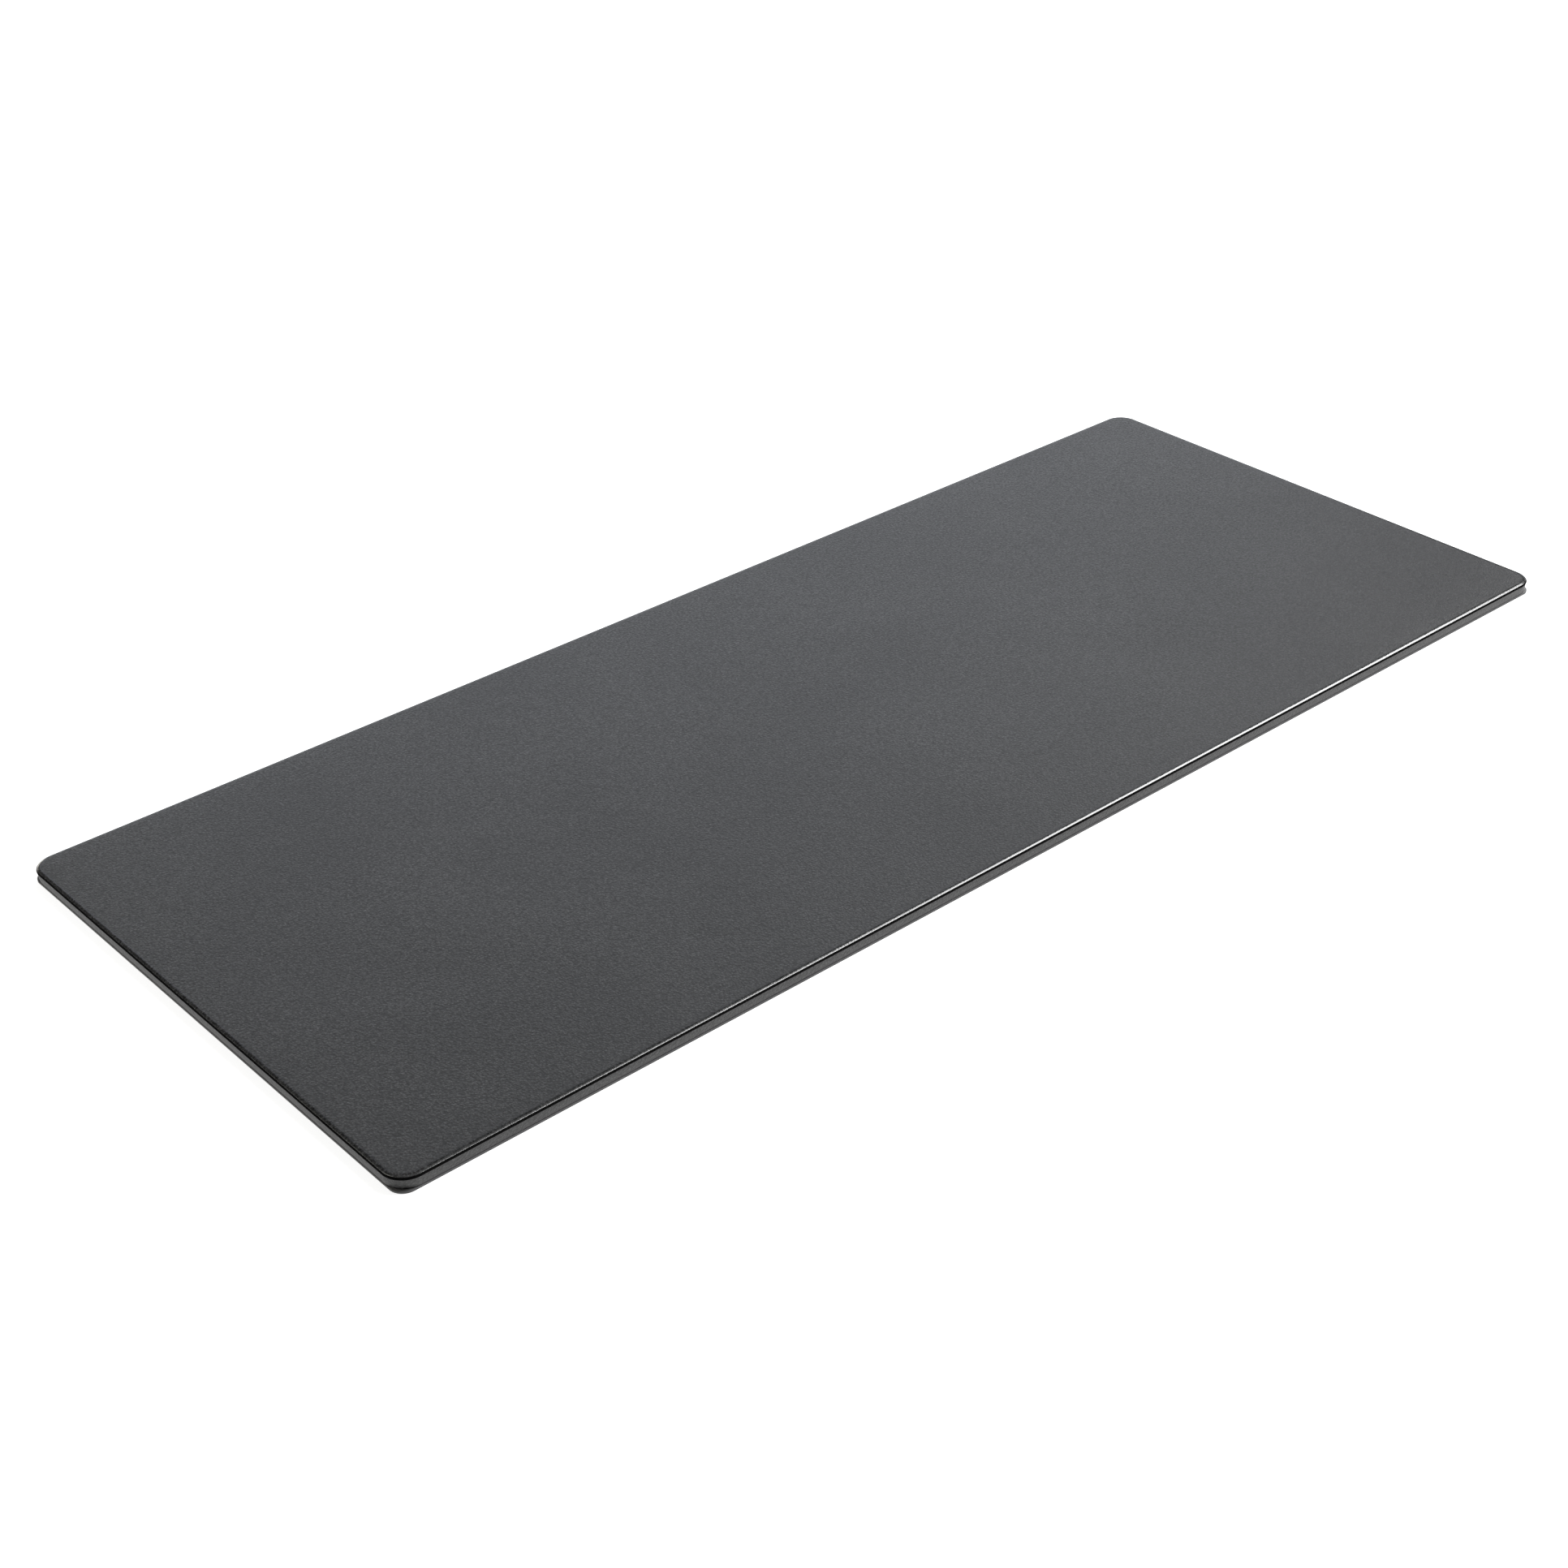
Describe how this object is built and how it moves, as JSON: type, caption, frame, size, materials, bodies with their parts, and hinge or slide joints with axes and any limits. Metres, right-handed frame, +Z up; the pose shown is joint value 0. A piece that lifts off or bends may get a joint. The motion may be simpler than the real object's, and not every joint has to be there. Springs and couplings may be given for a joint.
{
  "type": "anti fatigue mat",
  "caption": "Flat rectangular standing mat with rounded corners: leatherette cover with a rolled rim and seamed side band over soft and dense foam, on a non-slip backing.",
  "frame": {"origin": "middle of the underside, on the floor", "axes": "+X along the long side, +Y along the short side away from the person standing on it, +Z up through the standing surface"},
  "size_m": [1.2192, 0.508, 0.0127],
  "materials": {
    "non_slip_backing": "matte black non-slip sheet with a fine moulded grip pattern",
    "dense_foam": "dense closed-cell foam, dark grey, not seen",
    "soft_foam": "soft open-cell foam, grey, not seen",
    "leatherette_band": "matte charcoal leatherette",
    "leatherette_top": "satin charcoal leatherette with a fine grain"
  },
  "bodies": {
    "root": {"backing_sheet": "non_slip_backing", "support_foam": "dense_foam", "comfort_foam": "soft_foam", "side_band": "leatherette_band", "top_cover": "leatherette_top"}
  },
  "joints": []
}
